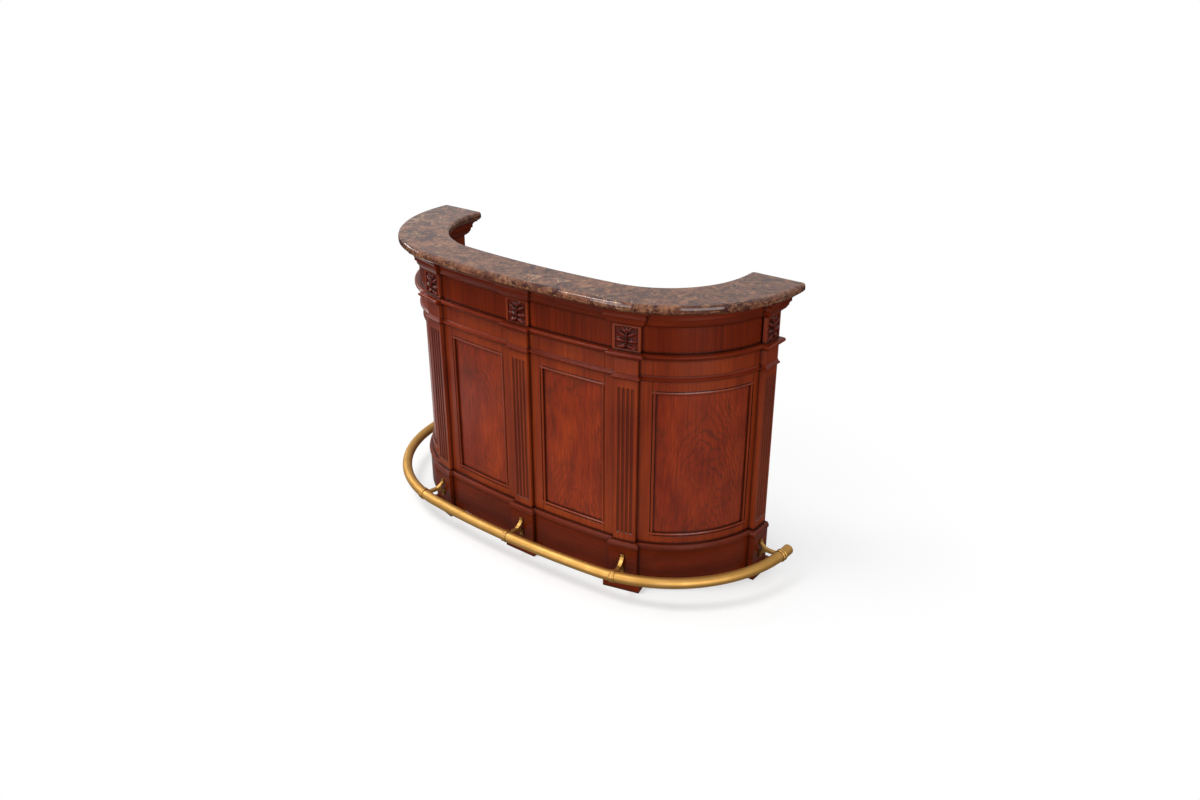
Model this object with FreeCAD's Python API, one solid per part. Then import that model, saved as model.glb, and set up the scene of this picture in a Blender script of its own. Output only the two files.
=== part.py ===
"""Curved home bar: a bowed panelled front with five fluted pilasters, a stone top and a brass foot rail.

Units are millimetres. X runs along the bar, the front faces -Y and +Z is up. The origin is on the
floor, in the middle of the footprint. The bar is the same to the left and right of X = 0, so the
right half is modelled and mirrored.
"""
import FreeCAD, Part
import math
import os

V = FreeCAD.Vector
os.makedirs("parts", exist_ok=True)

# Plan of the top's outer edge: a flat front arc that runs into two tight end arcs.
FRONT_RADIUS = 3533.0
FRONT_HALF_ANGLE = 6.18
END_RADIUS = 478.6
END_TAIL = 51.7
BAND_FRONT = 167.0
BAND_END = 199.0
INNER_TAIL = 53.9
STATION_ANGLE = 14.04

# Heights, from the floor up.
FOOT_HEIGHT = 35.0
BASE_HEIGHT = 129.0
CAP_HEIGHT = 21.0
FRAME_HEIGHT = 677.0
LEDGE_HEIGHT = 24.0
FRIEZE_HEIGHT = 133.0
SUB_TOP_THICK = 18.0
STONE_THICK = 30.0

# The curved wall, measured inward from the edge of the top.
FRAME_INSET = 71.0
FRAME_THICK = 18.0
WALL_THICK = 45.0
LINING_THICK = 6.0
END_POST_DEPTH = 74.0

# Pilasters and what stands above and below them.
PILASTER_WIDTH = 80.0
PILASTER_THICK = 14.0
FLUTE_COUNT = 4
FLUTE_PITCH = 15.5
FLUTE_RADIUS = 5.5
FLUTE_DEPTH = 4.3
FLUTE_FROM = 27.0
FLUTE_TO = 30.0
FLUTE_SIDES = 8
BLOCK_WIDTH = 96.0
BLOCK_PROUD = 13.0
CARVING_WIDTH = 78.0
CARVING_HEIGHT = 75.0
CARVING_DEPTH = 4.0
CARVING_RISE = 7.0
PLINTH_WIDTH = 104.0
PLINTH_PROUD = 26.0
FOOT_OVERHANG = 15.0
FOOT_FRONT = 14.0
FOOT_DEPTH = 88.0
FOOT_EASE = 1.5

# Bay frames and panels.
STILE_WIDTH = 43.0
SIDE_STILE_WIDTH = 22.0
PANEL_RISE = 29.0
TOP_RAIL = 107.0
BEAD_WIDTH = 11.0
BEAD_RISE = 1.5
QUIRK_WIDTH = 3.0
QUIRK_DEPTH = 4.0
PANEL_RECESS = 7.0
PANEL_THICK = 6.0
REBATE = 8.0
PANEL_CLEARANCE = 0.5
SEAM_WIDTH = 1.2
SEAM_DEPTH = 1.2

# Boards and mouldings that run through the bays.
FRIEZE_PROUD = 3.0
FRIEZE_THICK = 18.0
BASE_PROUD = 12.0
BASE_THICK = 22.0
CAP_PROJECTION = 8.0
CAP_EDGE = 10.0
CAP_ROUND = 4.0
LEDGE_PROJECTION = 24.0
LEDGE_NOSE = 9.0
LEDGE_NOSE_ROUND = 2.5
LEDGE_NOSE_BACK = 5.0
LEDGE_STEP = 3.5
LEDGE_FOOT = 5.0
LEDGE_OVOLO = 1.0
NECK_HEIGHT = 19.0
NECK_PROJECTION = 10.0
NECK_FOOT = 4.0
NECK_SLOPE = 5.5
NECK_FACE = 3.0
NECK_COVE = 1.7
NECK_BELOW_LEDGE = 53.0
CORNICE_HEIGHT = 62.0
CORNICE_PROJECTION = 38.0
CORNICE_FOOT = 2.0
CORNICE_OVOLO_WIDTH = 18.0
CORNICE_OVOLO_HEIGHT = 31.0
CORNICE_OVOLO = 4.6
CORNICE_COVE = 4.3
CORNICE_STEP = 4.0
CORNICE_FASCIA = 7.0
ROUND_FACETS = 3
SMALL_FACETS = 2

# Edge of the stone top.
STONE_TOP_ROUND = 11.0
STONE_TOP_START = 3.4
STONE_TOP_MIDDLE = 6.4
STONE_LOWER_ROUND = 8.0
STONE_CORNER = 14.0

# Foot rail and its brackets.
RAIL_DIAMETER = 38.0
RAIL_WALL = 1.5
RAIL_REACH = 40.0
RAIL_HEIGHT = 101.0
RAIL_PAST_END = 4.0
RAIL_SIDES = 10
END_CAP_LENGTH = 12.0
END_CAP_FLANGE = 3.0
END_CAP_EASE = 2.0
END_CAP_CLEARANCE = 0.1
COLLAR_DIAMETER = 45.0
COLLAR_LENGTH = 18.0
COLLAR_BEAD = 1.5
COLLAR_BEAD_WIDTH = 5.5
COLLAR_SIDES = 16
RAIL_CLEARANCE = 0.3
PAD_SPACING = 52.0
PAD_HEIGHT = 20.0
PAD_THICK = 5.0
ARM_WIDTH = 13.0
ARM_DEPTH = 12.0
FORK_REACH = 30.0
FORK_BOW = 3.0
CROTCH = 8.0

# Shelves behind the front.
SHELF_THICK = 18.0
SHELF_DEPTH = 200.0
LOWER_SHELF = 380.0
UPPER_SHELF = 740.0
DIVIDER_THICK = 18.0
DIVIDER_SETBACK = 10.0
LAP_CLEARANCE = 0.2

# Levels worked out from the heights.
Z_BASE = FOOT_HEIGHT
Z_CAP = Z_BASE + BASE_HEIGHT
Z_FRAME = Z_CAP + CAP_HEIGHT
Z_LEDGE = Z_FRAME + FRAME_HEIGHT
Z_FRIEZE = Z_LEDGE + LEDGE_HEIGHT
Z_SUB = Z_FRIEZE + FRIEZE_HEIGHT
Z_STONE = Z_SUB + SUB_TOP_THICK
Z_TOP = Z_STONE + STONE_THICK
Z_CORNICE = Z_STONE - CORNICE_HEIGHT
Z_NECK = Z_LEDGE - NECK_BELOW_LEDGE - NECK_HEIGHT

# Plan values worked out from the driving ones.
RAIL_RADIUS = RAIL_DIAMETER / 2
COLLAR_RADIUS = COLLAR_DIAMETER / 2
T1 = math.radians(FRONT_HALF_ANGLE)
TOP_DEPTH = FRONT_RADIUS - (FRONT_RADIUS - END_RADIUS) * math.cos(T1) + END_TAIL
Y_EDGE = (RAIL_REACH + COLLAR_RADIUS - TOP_DEPTH) / 2
FRONT_CENTRE = V(0, Y_EDGE + FRONT_RADIUS, 0)
END_CENTRE = FRONT_CENTRE + V(math.sin(T1), -math.cos(T1), 0) * (FRONT_RADIUS - END_RADIUS)
HALF_WIDTH = END_CENTRE.x + END_RADIUS
LINING_INSET = FRAME_INSET + WALL_THICK
POST_BACK = LINING_INSET - LINING_THICK
END_POST_BACK = FRAME_INSET + END_POST_DEPTH
FRIEZE_FACE = FRIEZE_PROUD - FRAME_INSET
BLOCK_FACE = BLOCK_PROUD - FRAME_INSET
PILASTER_FACE = PILASTER_THICK - FRAME_INSET
BASE_FACE = BASE_PROUD - FRAME_INSET
PLINTH_FACE = PLINTH_PROUD - FRAME_INSET
FAR = 2 * HALF_WIDTH
UP = V(0, 0, 1)
TOUCH = 1e-6


def outward(angle):
    """Outward normal of the front at an angle from straight ahead, positive to the right."""
    a = math.radians(angle)
    return V(math.sin(a), -math.cos(a), 0)


def on_curve(angle, offset):
    """Point of the plan curve whose normal has this angle, moved outward by an offset."""
    if abs(angle) <= FRONT_HALF_ANGLE:
        return FRONT_CENTRE + outward(angle) * (FRONT_RADIUS + offset)
    centre = V(math.copysign(END_CENTRE.x, angle), END_CENTRE.y, 0)
    return centre + outward(angle) * (END_RADIUS + offset)


def mirrored(shape):
    return shape.mirror(V(0, 0, 0), V(1, 0, 0))


def whole(shape):
    """The right half and its mirror image as one solid."""
    return shape.fuse(mirrored(shape)).removeSplitter()


def bow(start, end, rise, facets=ROUND_FACETS):
    """Facets of a rounded member, bowed to the right of the way from start to end. The end comes last."""
    x, z = end[0] - start[0], end[1] - start[1]
    length = math.hypot(x, z)
    points = []
    for i in range(1, facets + 1):
        t = i / facets
        lift = 4 * rise * t * (1 - t) / length
        points.append((start[0] + t * x + lift * z, start[1] + t * z - lift * x))
    return points


def section(start, steps, place):
    """Face bounded by a profile."""
    corners = [place(*step) for step in [start] + steps]
    corners = [p for i, p in enumerate(corners) if (p - corners[i - 1]).Length > TOUCH]
    return Part.Face(Part.makePolygon(corners + corners[:1]))


def turned(profile, sides, place):
    """Turned piece in flat facets, from points (along, radius). place takes along and two ways across."""
    turns = [2 * math.pi * (i + 0.5) / sides for i in range(sides)]
    rings = [[place(s, r * math.cos(t), r * math.sin(t)) for t in turns] for s, r in profile]
    faces = []
    for one, two in zip(rings, rings[1:] + rings[:1]):
        for i in range(sides):
            corners = [one[i - 1], two[i - 1], two[i], one[i]]
            corners = [p for k, p in enumerate(corners) if (p - corners[k - 1]).Length > TOUCH]
            if len(corners) > 2:
                faces.append(Part.Face(Part.makePolygon(corners + corners[:1])))
    solid = Part.Solid(Part.Shell(faces))
    return solid if solid.Volume > 0 else solid.reversed()


def swept(start, steps, a0, a1):
    """A profile of (offset, z) carried along the plan curve from one angle to another."""
    pieces = []
    spans = [(FRONT_CENTRE, FRONT_RADIUS, max(a0, 0.0), min(a1, FRONT_HALF_ANGLE)),
             (END_CENTRE, END_RADIUS, max(a0, FRONT_HALF_ANGLE), a1)]
    for centre, radius, b0, b1 in spans:
        if b1 <= b0:
            continue
        def place(out, z):
            return centre + outward(b0) * (radius + out) + V(0, 0, z)
        pieces.append(section(start, steps, place).revolve(centre, UP, b1 - b0))
    solid = pieces[0]
    for piece in pieces[1:]:
        solid = solid.fuse(piece)
    return solid.removeSplitter()


def band(inner, outer, z0, z1, a0=0.0, a1=90.0):
    """A curved board between two offsets and two heights."""
    return swept((inner, z0), [(outer, z0), (outer, z1), (inner, z1)], a0, a1)


class Station:
    """A pilaster's place: u runs to the right along its face, out is the offset from the top's edge."""

    def __init__(self, angle, point, end):
        self.angle = angle
        self.point = point
        self.end = end

    def place(self, shape):
        shape = shape.copy()
        shape.rotate(V(0, 0, 0), UP, self.angle)
        shape.translate(self.point)
        return shape

    def box(self, half, inner, outer, z0, z1):
        """Box over u from -half to half, or to the end plane on the end pilaster."""
        right = half if self.end is None else self.end
        return self.place(Part.makeBox(half + right, outer - inner, z1 - z0, V(-half, -outer, z0)))

    def along(self, start, steps, face):
        """Prism of a moulding's profile that runs across the face."""
        wall = section(start, steps, lambda out, z: V(-FAR, -face - out, z))
        return self.place(wall.extrude(V(2 * FAR, 0, 0)))

    def side(self, start, steps, half, hand):
        """Prism of the same profile that returns along one side."""
        wall = section(start, steps, lambda out, z: V(hand * (half + out), -FAR, z))
        return self.place(wall.extrude(V(0, 2 * FAR, 0)))


PILASTER_HALF = PILASTER_WIDTH / 2
CENTRE = Station(0.0, on_curve(0.0, 0.0), None)
RIGHT = Station(STATION_ANGLE, on_curve(STATION_ANGLE, 0.0), None)
RIGHT_END = Station(90.0, V(HALF_WIDTH, END_CENTRE.y - PILASTER_HALF, 0), PILASTER_HALF)
STATIONS = {"centre": CENTRE, "right": RIGHT, "right_end": RIGHT_END}
BAYS = {"right_front": (CENTRE, RIGHT, STILE_WIDTH), "right_side": (RIGHT, RIGHT_END, SIDE_STILE_WIDTH)}


def backed(start, steps, depth):
    """A profile closed by a back that lies a given depth behind its face."""
    return (-depth, start[1]), [start] + steps + [(-depth, steps[-1][1])]


def break_front(station, start, steps, half, face):
    """Moulding that stands forward over a pilaster, with mitred returns at its sides."""
    depth = face + FRAME_INSET
    block = station.along(*backed(start, steps, depth), face)
    block = block.common(station.side(*backed(start, steps, FAR), half, -1))
    if station.end is None:
        return block.common(station.side(*backed(start, steps, FAR), half, 1))
    return block.common(station.box(FAR, -FAR, FAR, 0, Z_TOP))


def moulding(start, steps, run_face, run_depth, half, face, cuts):
    """Run through the bays with break-fronts over all the pilasters, less what it is fitted round."""
    run_start, run_steps = backed(start, steps, run_depth)
    shifted = [(out + run_face, z) for out, z in run_steps]
    solid = swept((run_start[0] + run_face, run_start[1]), shifted, 0.0, 90.0)
    for station in STATIONS.values():
        solid = solid.fuse(break_front(station, start, steps, half, face))
    for cut in cuts:
        solid = solid.cut(cut)
    return solid.common(Part.makeBox(FAR, FAR, Z_TOP, V(0, -FAR / 2, 0)))


def stile_angle(station, distance, side):
    """Angle on the frame's curve at a distance along the face from a pilaster's middle."""
    target = station.place(Part.Vertex(side * distance, 0, 0)).Point
    if station is CENTRE:
        return math.degrees(math.asin(distance / (FRONT_RADIUS - FRAME_INSET)))
    if station is RIGHT and side < 0:
        low, high = 0.0, STATION_ANGLE
        wanted = (target - RIGHT.point).Length
        for _ in range(60):
            middle = (low + high) / 2
            offset = on_curve(middle, -FRAME_INSET) - on_curve(STATION_ANGLE, -FRAME_INSET)
            low, high = (middle, high) if offset.Length > wanted else (low, middle)
        return low
    radius = END_RADIUS - FRAME_INSET
    if station is RIGHT:
        return STATION_ANGLE + math.degrees(math.asin(distance / radius))
    return math.degrees(math.acos((END_CENTRE.y - target.y) / radius))


def post(station):
    back = END_POST_BACK if station.end else POST_BACK
    return station.box(PILASTER_HALF, -back, -FRAME_INSET, Z_BASE, Z_SUB)


def pilaster(station):
    """Board with round-ended flutes cut down its face."""
    board = station.box(PILASTER_HALF, -FRAME_INSET, PILASTER_FACE, Z_FRAME, Z_LEDGE)
    axis_out = -PILASTER_FACE - (FLUTE_RADIUS - FLUTE_DEPTH)
    z0 = Z_FRAME + FLUTE_FROM + FLUTE_RADIUS
    z1 = Z_NECK - FLUTE_TO - FLUTE_RADIUS
    for i in range(FLUTE_COUNT):
        u = (i - (FLUTE_COUNT - 1) / 2) * FLUTE_PITCH
        shoulder = FLUTE_RADIUS * math.sqrt(0.5)
        capsule = [(z0 - FLUTE_RADIUS, 0.0), (z0 - shoulder, shoulder), (z0, FLUTE_RADIUS)]
        capsule += [(z1, FLUTE_RADIUS), (z1 + shoulder, shoulder), (z1 + FLUTE_RADIUS, 0.0)]
        groove = turned(capsule, FLUTE_SIDES, lambda z, a, b: V(u + a, axis_out + b, z))
        board = board.cut(station.place(groove))
    return board


def frieze_block(station):
    """Block under the cornice with a sunk square for carving."""
    half = BLOCK_WIDTH / 2
    block = station.box(half, -FRAME_INSET, BLOCK_FACE, Z_FRIEZE, Z_STONE)
    z0 = Z_FRIEZE + CARVING_RISE
    right = half if station.end is None else station.end
    width = CARVING_WIDTH - (half - right)
    sunk = Part.makeBox(width, CARVING_DEPTH, CARVING_HEIGHT, V((right - half - width) / 2, -BLOCK_FACE, z0))
    return block.cut(station.place(sunk))


def plinth(station):
    return station.box(PLINTH_WIDTH / 2, -FRAME_INSET, PLINTH_FACE, Z_BASE, Z_CAP)


def foot(station):
    """Block under the plinth, with eased lower edges."""
    half = PLINTH_WIDTH / 2 + FOOT_OVERHANG
    far = half if station.end is None else station.end + FOOT_OVERHANG
    front = PLINTH_FACE + FOOT_FRONT
    block = Part.makeBox(half + far, FOOT_DEPTH, FOOT_HEIGHT, V(-half, -front, 0))
    lower = [e for e in block.Edges if e.BoundBox.ZMax < FOOT_EASE]
    return station.place(block.makeChamfer(FOOT_EASE, lower))


def bay_frame(bay):
    """Curved stiles and rails with a quirked bead round the opening and a rebate for the panel."""
    left, right, stile = BAYS[bay]
    a0 = stile_angle(left, PILASTER_HALF + STILE_WIDTH, 1)
    a1 = stile_angle(right, PILASTER_HALF + stile, -1)
    z0 = Z_FRAME + PANEL_RISE
    z1 = Z_LEDGE - TOP_RAIL
    face = -FRAME_INSET
    back = face - FRAME_THICK
    frame = band(back, face, Z_FRAME, Z_LEDGE, left.angle, right.angle)
    frame = frame.cut(band(2 * back, 0.0, z0, z1, a0, a1))
    bead = [(0.0, -QUIRK_DEPTH), (QUIRK_WIDTH, -QUIRK_DEPTH), (QUIRK_WIDTH, 0.0)]
    bead += bow((QUIRK_WIDTH, 0.0), (BEAD_WIDTH, 0.0), -BEAD_RISE, SMALL_FACETS)
    bead.append((BEAD_WIDTH, -PANEL_RECESS))
    for edge, sign in ((z0, 1), (z1, -1)):
        steps = [(face + out, edge + sign * u) for u, out in bead]
        frame = frame.fuse(swept((face - PANEL_RECESS, edge), steps, a0, a1))
    for angle, sign in ((a0, 1), (a1, -1)):
        foot_point = on_curve(angle, face)
        n = outward(angle)
        t = V(-n.y, n.x, 0) * sign
        start = foot_point + V(0, 0, z0)
        upright = section((0.0, -PANEL_RECESS), bead, lambda u, out: start + t * u + n * out)
        frame = frame.fuse(upright.extrude(V(0, 0, z1 - z0)))
    rebate0 = math.degrees(REBATE / ((FRONT_RADIUS if left is CENTRE else END_RADIUS) - FRAME_INSET))
    rebate1 = math.degrees(REBATE / (END_RADIUS - FRAME_INSET))
    seat = face - PANEL_RECESS
    frame = frame.cut(band(2 * back, seat, z0 - REBATE, z1 + REBATE, a0 - rebate0, a1 + rebate1))
    for angle in (a0, a1):
        for low, high in ((Z_FRAME, z0), (z1, Z_LEDGE)):
            seam = Part.makeBox(SEAM_WIDTH, 2 * SEAM_DEPTH, high - low, V(-SEAM_WIDTH / 2, -SEAM_DEPTH, low))
            seam.rotate(V(0, 0, 0), UP, angle)
            seam.translate(on_curve(angle, face))
            frame = frame.cut(seam)
    for station in (left, right):
        frame = frame.cut(post(station))
    c = PANEL_CLEARANCE
    panel = band(seat - PANEL_THICK, seat, z0 - REBATE + c, z1 + REBATE - c,
                 a0 - rebate0 * (1 - c / REBATE), a1 + rebate1 * (1 - c / REBATE))
    return frame, panel


def top_outline():
    """Half plan of the top between X = 0 and its right end."""
    y_end = Y_EDGE + TOP_DEPTH
    r_in = FRONT_RADIUS - BAND_FRONT
    x_in = HALF_WIDTH - BAND_END
    rise = FRONT_CENTRE.y - y_end + INNER_TAIL
    r_corner = (r_in ** 2 - x_in ** 2 - rise ** 2) / (2 * (r_in - x_in))
    c_in = V(x_in - r_corner, FRONT_CENTRE.y - rise, 0)
    turn = math.degrees(math.atan2(c_in.x, rise))
    def arc(centre, radius, b0, b1):
        points = [centre + outward(b) * radius for b in (b0, (b0 + b1) / 2, b1)]
        return Part.Arc(*points).toShape()
    def line(p, q):
        return Part.LineSegment(p, q).toShape()
    edges = [arc(FRONT_CENTRE, FRONT_RADIUS, 0, FRONT_HALF_ANGLE),
             arc(END_CENTRE, END_RADIUS, FRONT_HALF_ANGLE, 90),
             line(V(HALF_WIDTH, END_CENTRE.y, 0), V(HALF_WIDTH, y_end, 0)),
             line(V(HALF_WIDTH, y_end, 0), V(x_in, y_end, 0)),
             line(V(x_in, y_end, 0), V(x_in, c_in.y, 0)),
             arc(c_in, r_corner, 90, turn),
             arc(FRONT_CENTRE, r_in, turn, 0),
             line(V(0, Y_EDGE + BAND_FRONT, 0), V(0, Y_EDGE, 0))]
    return Part.Face(Part.Wire(edges))


def stone_top():
    """Stone slab with rounded end corners and a double-rounded edge."""
    slab = top_outline().extrude(V(0, 0, STONE_THICK))
    slab.translate(V(0, 0, Z_STONE))
    slab = whole(slab)
    y_end = Y_EDGE + TOP_DEPTH
    half_way = Z_STONE + STONE_THICK / 2
    upright = [e for e in slab.Edges if e.BoundBox.ZMin < half_way < e.BoundBox.ZMax]
    corners = [e for e in upright if e.BoundBox.YMin > y_end - END_TAIL / 2]
    slab = slab.makeFillet(STONE_CORNER, corners)
    upper = [e for e in slab.Edges if e.BoundBox.ZMin > half_way]
    eased = slab.makeChamfer(STONE_TOP_MIDDLE, upper)
    eased = eased.common(slab.makeChamfer(STONE_TOP_START, STONE_TOP_ROUND, upper))
    eased = eased.common(slab.makeChamfer(STONE_TOP_ROUND, STONE_TOP_START, upper))
    lower = [e for e in eased.Edges if e.BoundBox.ZMax < half_way]
    return eased.makeChamfer(STONE_LOWER_ROUND, lower)


def foot_rail():
    """Brass tube round the front, straight past the ends of the curve."""
    turns = [2 * math.pi * (i + 0.5) / RAIL_SIDES for i in range(RAIL_SIDES)]
    def ring(r, angle):
        middle = on_curve(angle, RAIL_REACH) + V(0, 0, RAIL_HEIGHT)
        points = [middle + outward(angle) * (r * math.cos(t)) + V(0, 0, r * math.sin(t)) for t in turns]
        return Part.Face(Part.makePolygon(points + points[:1]))
    def rod(r):
        front = ring(r, 0.0).revolve(FRONT_CENTRE, UP, FRONT_HALF_ANGLE)
        side = ring(r, FRONT_HALF_ANGLE).revolve(END_CENTRE, UP, 90.0 - FRONT_HALF_ANGLE)
        stub = ring(r, 90.0).extrude(V(0, RAIL_PAST_END, 0))
        return whole(front.fuse(side).fuse(stub))
    return rod(RAIL_RADIUS).cut(rod(RAIL_RADIUS - RAIL_WALL))


def rail_end_cap():
    """Plug with an eased flange that closes the tube."""
    base = on_curve(90, RAIL_REACH) + V(0, RAIL_PAST_END, RAIL_HEIGHT)
    plug = RAIL_RADIUS - RAIL_WALL - END_CAP_CLEARANCE
    profile = [(-END_CAP_LENGTH, 0.0), (-END_CAP_LENGTH, plug), (0.0, plug), (0.0, RAIL_RADIUS),
               (END_CAP_FLANGE - END_CAP_EASE, RAIL_RADIUS), (END_CAP_FLANGE, RAIL_RADIUS - END_CAP_EASE),
               (END_CAP_FLANGE, 0.0)]
    return turned(profile, RAIL_SIDES, lambda y, a, b: base + V(a, y, b))


def rail_bracket(station):
    """Beaded collar on the rail, held off the plinth's middle by a forked arm with two screw pads."""
    on_rail = station
    if station.end is not None:
        middle = station.place(Part.Vertex((station.end - PLINTH_WIDTH / 2) / 2, 0, 0)).Point
        station = Station(station.angle, middle, station.end)
        turn = math.degrees(math.acos((END_CENTRE.y - station.point.y) / (END_RADIUS + RAIL_REACH)))
        on_rail = Station(turn, on_curve(turn, 0.0), None)
    bore = (RAIL_RADIUS + RAIL_CLEARANCE) / math.cos(math.pi / COLLAR_SIDES)
    half = COLLAR_LENGTH / 2
    band_radius = COLLAR_RADIUS - COLLAR_BEAD
    third = COLLAR_BEAD_WIDTH / 3
    bead = [(0.0, band_radius), (third, COLLAR_RADIUS), (2 * third, COLLAR_RADIUS), (3 * third, band_radius)]
    profile = [(-half, bore)] + [(u - half, r) for u, r in bead]
    profile += [(half - u, r) for u, r in reversed(bead)] + [(half, bore)]
    def on_axis(u, a, b):
        return V(u, -RAIL_REACH + a, RAIL_HEIGHT + b)
    collar = turned(profile, COLLAR_SIDES, on_axis)
    hollow = turned([(-FAR, 0.0), (-FAR, bore), (FAR, bore), (FAR, 0.0)], COLLAR_SIDES, on_axis)
    arm_half = ARM_DEPTH / 2
    spread = PAD_SPACING / 2
    seat = -PLINTH_FACE
    root = seat - PAD_THICK
    fork = seat - FORK_REACH
    upper = spread + PAD_HEIGHT / 2
    inner = spread - PAD_HEIGHT / 2
    steps = [(fork, -arm_half)] + bow((fork, -arm_half), (root, -spread), -FORK_BOW)
    steps += [(root, -upper), (seat, -upper), (seat, -inner), (root, -inner)]
    steps += bow((root, -inner), (root, inner), -CROTCH)
    steps += [(seat, inner), (seat, upper), (root, upper), (root, spread)]
    steps += bow((root, spread), (fork, arm_half), -FORK_BOW) + [(-RAIL_REACH, arm_half)]
    side = section((-RAIL_REACH, -arm_half), steps, lambda y, z: V(-ARM_WIDTH / 2, y, RAIL_HEIGHT + z))
    arm = station.place(side.extrude(V(ARM_WIDTH, 0, 0))).cut(on_rail.place(hollow))
    return on_rail.place(collar).fuse(arm).removeSplitter()


def shelf(z, slots):
    """Crescent shelf against the lining, slotted from the wall side where the dividers cross it."""
    board = whole(band(-LINING_INSET - SHELF_DEPTH, -LINING_INSET, z, z + SHELF_THICK))
    for hand in (1, -1):
        end_post = post(RIGHT_END)
        board = board.cut(end_post if hand > 0 else mirrored(end_post))
    for slot in slots:
        board = board.cut(slot)
    return board


def divider(station):
    """Upright between the shelves, notched from its free edge to lap over them."""
    inner = -LINING_INSET - SHELF_DEPTH + DIVIDER_SETBACK
    half = DIVIDER_THICK / 2
    upright = station.box(half, inner, -LINING_INSET, Z_BASE + SHELF_THICK, UPPER_SHELF)
    upright = upright.cut(whole(band(-LINING_INSET, 0.0, 0.0, Z_TOP)))
    lap = -LINING_INSET - SHELF_DEPTH / 2
    c = LAP_CLEARANCE
    return upright.cut(station.box(half, inner, lap + c, LOWER_SHELF - c, LOWER_SHELF + SHELF_THICK + c))


def lower_slot(station):
    c = LAP_CLEARANCE
    lap = -LINING_INSET - SHELF_DEPTH / 2
    return station.box(DIVIDER_THICK / 2 + c, lap - c, 0.0, LOWER_SHELF - c, LOWER_SHELF + SHELF_THICK + c)


# Profiles of the mouldings, as (projection, z) from the foot of the profile up.
cap_low = (CAP_PROJECTION - CAP_EDGE / 2, Z_CAP)
CAP = ((0.0, Z_CAP), [cap_low] + bow(cap_low, (CAP_PROJECTION - CAP_EDGE, Z_FRAME), CAP_ROUND))
neck_low = Z_NECK + NECK_SLOPE
neck_lip = (NECK_PROJECTION, neck_low + NECK_FACE)
NECK = ((0.0, Z_NECK), [(NECK_FOOT, Z_NECK), (NECK_PROJECTION, neck_low), neck_lip]
        + bow(neck_lip, (0.0, Z_NECK + NECK_HEIGHT), -NECK_COVE, SMALL_FACETS))
nose_low = (LEDGE_PROJECTION, Z_FRIEZE - LEDGE_NOSE)
ledge_foot = (LEDGE_FOOT, Z_LEDGE)
ledge_head = (LEDGE_PROJECTION - LEDGE_STEP, nose_low[1] - LEDGE_STEP)
LEDGE = ((0.0, Z_LEDGE), [ledge_foot] + bow(ledge_foot, ledge_head, LEDGE_OVOLO, SMALL_FACETS) + [nose_low]
         + bow(nose_low, (LEDGE_PROJECTION - LEDGE_NOSE_BACK, Z_FRIEZE), LEDGE_NOSE_ROUND, SMALL_FACETS))
ovolo_low = (CORNICE_FOOT, Z_CORNICE)
ovolo_high = (CORNICE_FOOT + CORNICE_OVOLO_WIDTH, Z_CORNICE + CORNICE_OVOLO_HEIGHT)
cove_low = (ovolo_high[0] + CORNICE_STEP, ovolo_high[1])
cove_high = (CORNICE_PROJECTION - CORNICE_STEP, Z_STONE - CORNICE_FASCIA)
CORNICE = ((0.0, Z_CORNICE), [ovolo_low] + bow(ovolo_low, ovolo_high, CORNICE_OVOLO) + [cove_low]
           + bow(cove_low, cove_high, -CORNICE_COVE)
           + [(CORNICE_PROJECTION, cove_high[1]), (CORNICE_PROJECTION, Z_STONE)])


def cornice():
    """Outer cornice, which also turns round the end posts."""
    wall = band(-LINING_INSET, FRIEZE_FACE, 0.0, Z_TOP)
    half = BLOCK_WIDTH / 2
    cores = [s.box(half, -FRAME_INSET, BLOCK_FACE, 0.0, Z_TOP) for s in STATIONS.values()]
    solid = moulding(*CORNICE, FRIEZE_FACE, 0.0, half, BLOCK_FACE, cores + [wall])
    ring = end_cornice(BLOCK_FACE, half, 1).cut(wall)
    inner = end_cornice(END_POST_BACK, PILASTER_HALF, -1).cut(wall)
    core = RIGHT_END.box(half, -FRAME_INSET, BLOCK_FACE, 0.0, Z_TOP)
    post_core = RIGHT_END.box(PILASTER_HALF, -END_POST_BACK, -FRAME_INSET, 0.0, Z_TOP)
    return whole(solid.fuse(ring).fuse(inner).cut(core).cut(post_core))


def end_cornice(face, half, hand):
    """Cornice round the end post: its outer half, or its inner half with hand -1."""
    start, steps = CORNICE
    profile = backed(start, steps, face + hand * LINING_INSET)
    wall = section(*profile, lambda out, z: V(-FAR, -hand * (face + out), z))
    prism = RIGHT_END.place(wall.extrude(V(2 * FAR, 0, 0)))
    prism = prism.common(RIGHT_END.side(*backed(start, steps, FAR), half, -1))
    return prism.common(RIGHT_END.side(*backed(start, steps, FAR), RIGHT_END.end, 1))


def inner_cornice():
    """The same cornice on the service side, between the end posts."""
    start, steps = CORNICE
    run_start, run_steps = backed(start, steps, 0.0)
    flip = [(-out - LINING_INSET, z) for out, z in run_steps]
    run = swept((-run_start[0] - LINING_INSET, run_start[1]), flip, 0.0, 90.0)
    run = run.cut(end_cornice(END_POST_BACK, PILASTER_HALF, -1))
    return whole(run.cut(RIGHT_END.box(PILASTER_HALF, -END_POST_BACK, 0.0, 0.0, Z_TOP)))


def save(name, shape):
    shape.exportStep("parts/" + name + ".step")


def save_pair(name, shape):
    """A piece of the right half and its mirror image on the left."""
    save(name, shape)
    save(name.replace("right", "left"), mirrored(shape))


save("stone_top", stone_top())
save("cornice", cornice())
save("cornice_inner", inner_cornice())

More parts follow.
